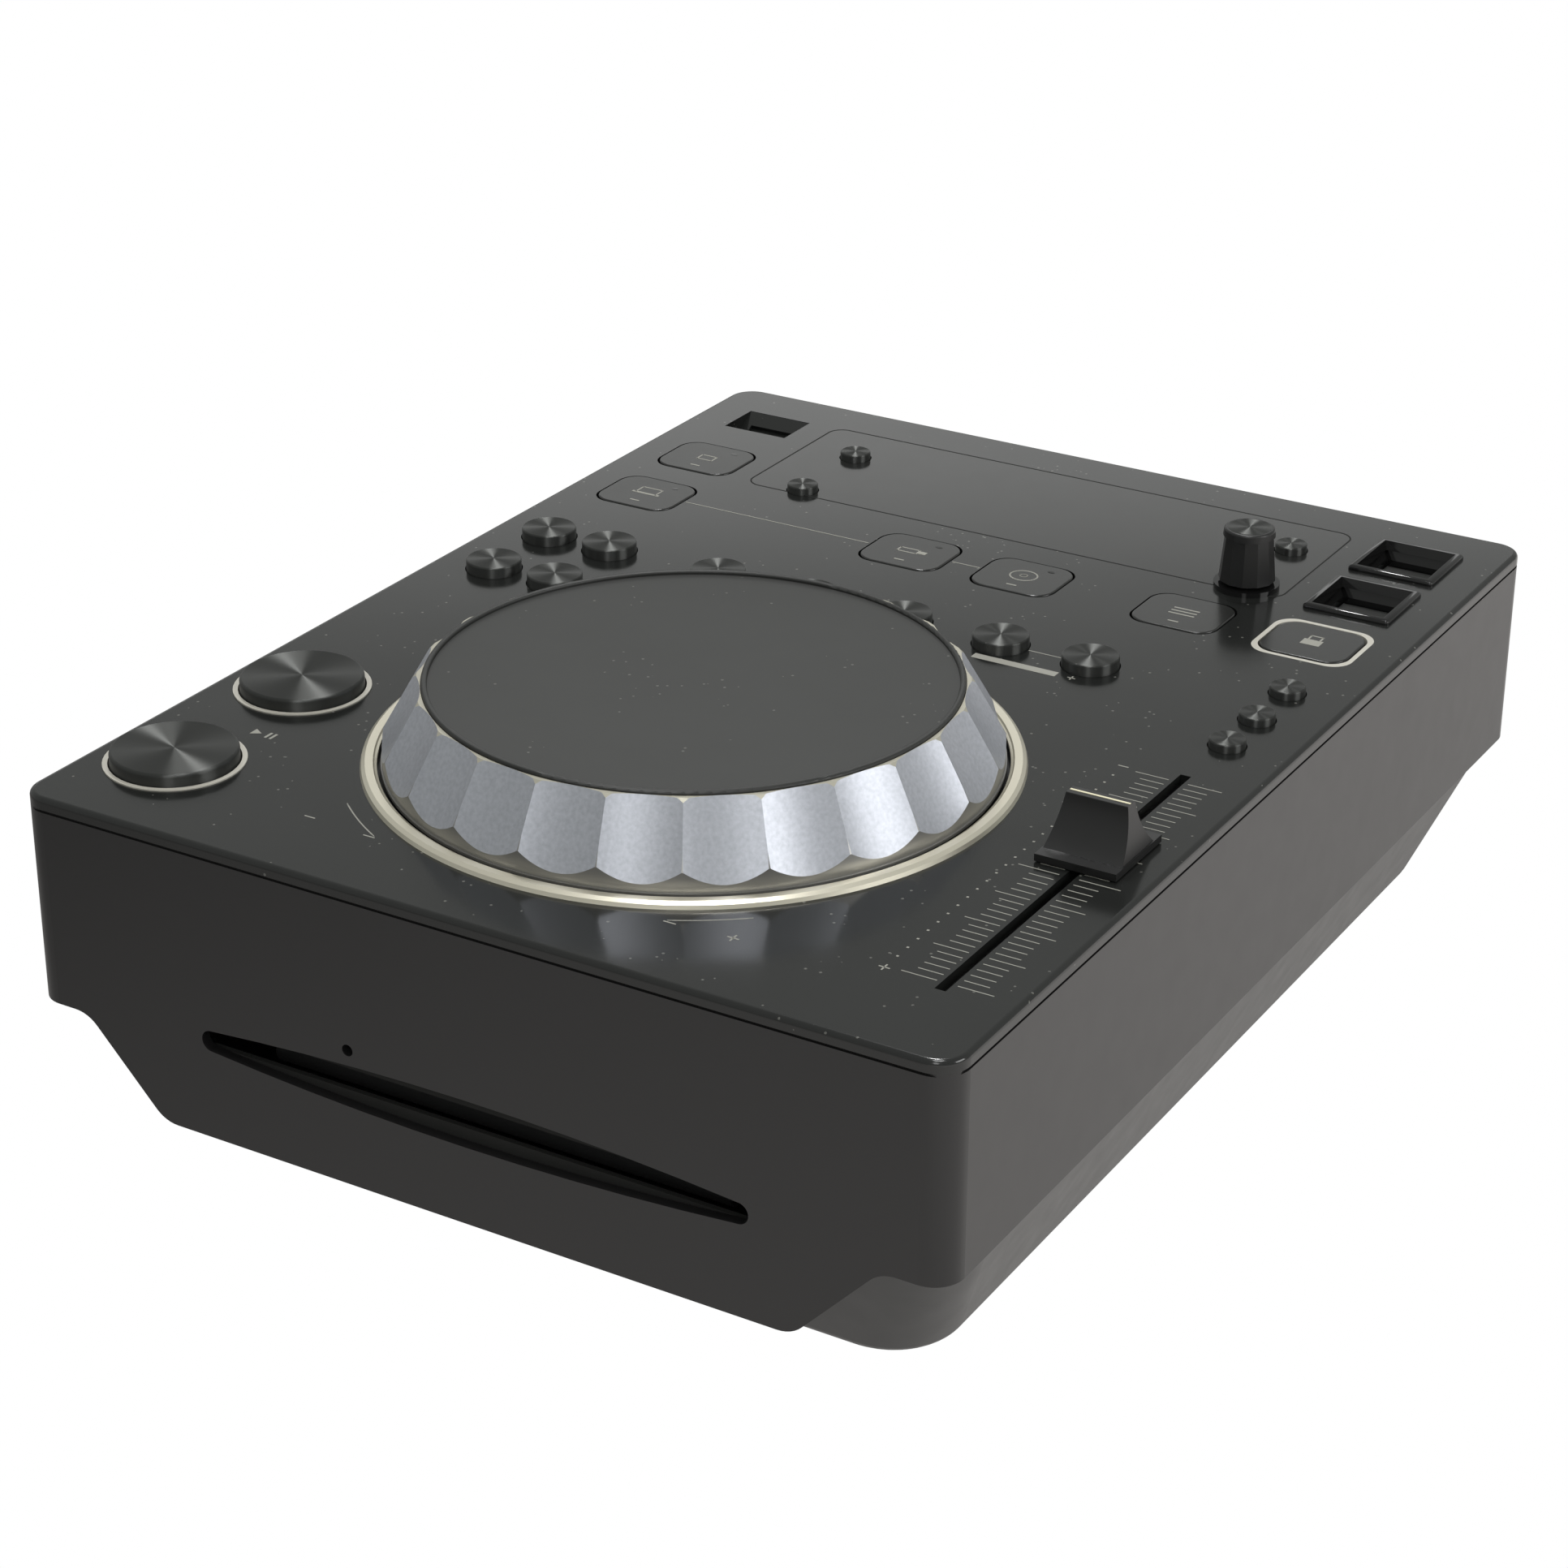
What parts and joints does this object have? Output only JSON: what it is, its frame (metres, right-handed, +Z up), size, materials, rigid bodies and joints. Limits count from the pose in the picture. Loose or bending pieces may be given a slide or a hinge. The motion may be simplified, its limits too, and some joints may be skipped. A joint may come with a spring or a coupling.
{
  "type": "tabletop_disc_player",
  "caption": "Tabletop disc player for mixing: a wide scalloped jog dial, tempo slider, keys, turning selector and display on a black case with a front disc slot.",
  "frame": {"origin": "middle of the footprint on the table", "axes": "+X to the player's right, +Y to the rear, +Z up"},
  "size_m": [0.2186, 0.288, 0.1049],
  "materials": {
    "panel_gloss": "polished",
    "case_satin": "satin",
    "tray_matte": "matte",
    "window_dark": "polished",
    "screen_module": "matte",
    "trim_metal": "satin",
    "ring_clear": "frosted",
    "bezel_gloss": "polished",
    "bright_steel": "brushed",
    "felt_black": "felt",
    "board_green": "satin",
    "switch_black": "matte",
    "foot_rubber": "matte",
    "jog_silver": "satin",
    "jog_black": "satin",
    "knob_black": "satin",
    "pad_key_black": "satin",
    "key_spun": "spun",
    "well_key_grey": "satin"
  },
  "bodies": {
    "base": {"top_panel": "panel_gloss", "case_shell": "case_satin", "bottom_tray": "tray_matte", "display_window": "window_dark", "display_module": "screen_module", "jog_trim_ring": "trim_metal", "light_rings": "ring_clear", "panel_bezels": "bezel_gloss", "stick_scoop": "panel_gloss", "stick_port": "bright_steel", "slot_felt": "felt_black", "drive_deck": "bright_steel", "spindle_motor": "bright_steel", "guide_rods": "bright_steel", "main_board": "board_green", "key_board": "board_green", "key_switches": "switch_black", "mains_inlet": "switch_black", "sound_sockets": "switch_black", "link_socket": "switch_black", "tempo_frame": "bright_steel", "jog_bearing": "switch_black", "selector_encoder": "switch_black", "rubber_feet": "foot_rubber", "case_screws": "bright_steel"},
    "track_back_key": {"track_back_key": "key_spun"},
    "track_forward_key": {"track_forward_key": "key_spun"},
    "search_back_key": {"search_back_key": "key_spun"},
    "search_forward_key": {"search_forward_key": "key_spun"},
    "loop_in_key": {"loop_in_key": "key_spun"},
    "loop_out_key": {"loop_out_key": "key_spun"},
    "loop_exit_key": {"loop_exit_key": "key_spun"},
    "memory_key": {"memory_key": "key_spun"},
    "recall_key": {"recall_key": "key_spun"},
    "jog_mode_key": {"jog_mode_key": "key_spun"},
    "tempo_range_key": {"tempo_range_key": "key_spun"},
    "tempo_hold_key": {"tempo_hold_key": "key_spun"},
    "time_key": {"time_key": "key_spun"},
    "list_key": {"list_key": "key_spun"},
    "return_key": {"return_key": "key_spun"},
    "pad_key_left_rear": {"pad_key_left_rear": "pad_key_black"},
    "pad_key_left": {"pad_key_left": "pad_key_black"},
    "pad_key_middle_left": {"pad_key_middle_left": "pad_key_black"},
    "pad_key_middle_right": {"pad_key_middle_right": "pad_key_black"},
    "pad_key_right_inner": {"pad_key_right_inner": "pad_key_black"},
    "pad_key_right_outer": {"pad_key_right_outer": "pad_key_black"},
    "cue_button": {"cue_button": "key_spun"},
    "play_button": {"play_button": "key_spun"},
    "power_key": {"power_key": "well_key_grey"},
    "eject_key": {"eject_key": "well_key_grey"},
    "jog": {"jog_ring": "jog_silver", "jog_plate": "jog_black", "jog_shaft": "switch_black"},
    "tempo": {"tempo_knob": "knob_black", "tempo_carriage": "switch_black"},
    "selector_push": {"selector_shaft": "bright_steel"},
    "selector_grip": {"selector_knob": "knob_black"},
    "spindle": {"turntable": "switch_black"},
    "pickup": {"pickup_sled": "switch_black"},
    "roller": {"feed_roller": "foot_rubber"}
  },
  "joints": [
    {"name": "jog_turn", "type": "hinge", "parent": "base", "child": "jog", "pos_m": [0.0007, -0.0572, 0.086], "axis": [0, 0, 1], "continuous": true},
    {"name": "tempo_slide", "type": "slide", "parent": "base", "child": "tempo", "axis": [0, 1, 0], "range_m": [-0.0629, 0.0376]},
    {"name": "selector_press", "type": "slide", "parent": "base", "child": "selector_push", "axis": [0, 0, -1], "range_m": [0, 0.0006], "stiffness_N_per_m": 500},
    {"name": "selector_turn", "type": "hinge", "parent": "selector_push", "child": "selector_grip", "pos_m": [0.0618, 0.0875, 0.09], "axis": [0, 0, 1], "continuous": true},
    {"name": "spindle_turn", "type": "hinge", "parent": "base", "child": "spindle", "pos_m": [0.0007, -0.06, 0.034], "axis": [0, 0, 1], "continuous": true},
    {"name": "pickup_travel", "type": "slide", "parent": "base", "child": "pickup", "axis": [0, 1, 0], "range_m": [0, 0.03]},
    {"name": "roller_turn", "type": "hinge", "parent": "base", "child": "roller", "pos_m": [0.0007, -0.13, 0.0353], "axis": [1, 0, 0], "continuous": true},
    {"name": "track_back_key_press", "type": "slide", "parent": "base", "child": "track_back_key", "axis": [0, 0, -1], "range_m": [0, 0.0006], "stiffness_N_per_m": 400},
    {"name": "track_forward_key_press", "type": "slide", "parent": "base", "child": "track_forward_key", "axis": [0, 0, -1], "range_m": [0, 0.0006], "stiffness_N_per_m": 400},
    {"name": "search_back_key_press", "type": "slide", "parent": "base", "child": "search_back_key", "axis": [0, 0, -1], "range_m": [0, 0.0006], "stiffness_N_per_m": 400},
    {"name": "search_forward_key_press", "type": "slide", "parent": "base", "child": "search_forward_key", "axis": [0, 0, -1], "range_m": [0, 0.0006], "stiffness_N_per_m": 400},
    {"name": "loop_in_key_press", "type": "slide", "parent": "base", "child": "loop_in_key", "axis": [0, 0, -1], "range_m": [0, 0.0006], "stiffness_N_per_m": 400},
    {"name": "loop_out_key_press", "type": "slide", "parent": "base", "child": "loop_out_key", "axis": [0, 0, -1], "range_m": [0, 0.0006], "stiffness_N_per_m": 400},
    {"name": "loop_exit_key_press", "type": "slide", "parent": "base", "child": "loop_exit_key", "axis": [0, 0, -1], "range_m": [0, 0.0006], "stiffness_N_per_m": 400},
    {"name": "memory_key_press", "type": "slide", "parent": "base", "child": "memory_key", "axis": [0, 0, -1], "range_m": [0, 0.0006], "stiffness_N_per_m": 400},
    {"name": "recall_key_press", "type": "slide", "parent": "base", "child": "recall_key", "axis": [0, 0, -1], "range_m": [0, 0.0006], "stiffness_N_per_m": 400},
    {"name": "jog_mode_key_press", "type": "slide", "parent": "base", "child": "jog_mode_key", "axis": [0, 0, -1], "range_m": [0, 0.0006], "stiffness_N_per_m": 400},
    {"name": "tempo_range_key_press", "type": "slide", "parent": "base", "child": "tempo_range_key", "axis": [0, 0, -1], "range_m": [0, 0.0006], "stiffness_N_per_m": 400},
    {"name": "tempo_hold_key_press", "type": "slide", "parent": "base", "child": "tempo_hold_key", "axis": [0, 0, -1], "range_m": [0, 0.0006], "stiffness_N_per_m": 400},
    {"name": "time_key_press", "type": "slide", "parent": "base", "child": "time_key", "axis": [0, 0, -1], "range_m": [0, 0.0006], "stiffness_N_per_m": 400},
    {"name": "list_key_press", "type": "slide", "parent": "base", "child": "list_key", "axis": [0, 0, -1], "range_m": [0, 0.0006], "stiffness_N_per_m": 400},
    {"name": "return_key_press", "type": "slide", "parent": "base", "child": "return_key", "axis": [0, 0, -1], "range_m": [0, 0.0006], "stiffness_N_per_m": 400},
    {"name": "pad_key_left_rear_press", "type": "slide", "parent": "base", "child": "pad_key_left_rear", "axis": [0, 0, -1], "range_m": [0, 0.0006], "stiffness_N_per_m": 400},
    {"name": "pad_key_left_press", "type": "slide", "parent": "base", "child": "pad_key_left", "axis": [0, 0, -1], "range_m": [0, 0.0006], "stiffness_N_per_m": 400},
    {"name": "pad_key_middle_left_press", "type": "slide", "parent": "base", "child": "pad_key_middle_left", "axis": [0, 0, -1], "range_m": [0, 0.0006], "stiffness_N_per_m": 400},
    {"name": "pad_key_middle_right_press", "type": "slide", "parent": "base", "child": "pad_key_middle_right", "axis": [0, 0, -1], "range_m": [0, 0.0006], "stiffness_N_per_m": 400},
    {"name": "pad_key_right_inner_press", "type": "slide", "parent": "base", "child": "pad_key_right_inner", "axis": [0, 0, -1], "range_m": [0, 0.0006], "stiffness_N_per_m": 400},
    {"name": "pad_key_right_outer_press", "type": "slide", "parent": "base", "child": "pad_key_right_outer", "axis": [0, 0, -1], "range_m": [0, 0.0006], "stiffness_N_per_m": 400},
    {"name": "cue_button_press", "type": "slide", "parent": "base", "child": "cue_button", "axis": [0, 0, -1], "range_m": [0, 0.0006], "stiffness_N_per_m": 500},
    {"name": "play_button_press", "type": "slide", "parent": "base", "child": "play_button", "axis": [0, 0, -1], "range_m": [0, 0.0006], "stiffness_N_per_m": 500},
    {"name": "power_key_press", "type": "slide", "parent": "base", "child": "power_key", "axis": [0, 0, -1], "range_m": [0, 0.0006], "stiffness_N_per_m": 400},
    {"name": "eject_key_press", "type": "slide", "parent": "base", "child": "eject_key", "axis": [0, 0, -1], "range_m": [0, 0.0006], "stiffness_N_per_m": 400}
  ]
}
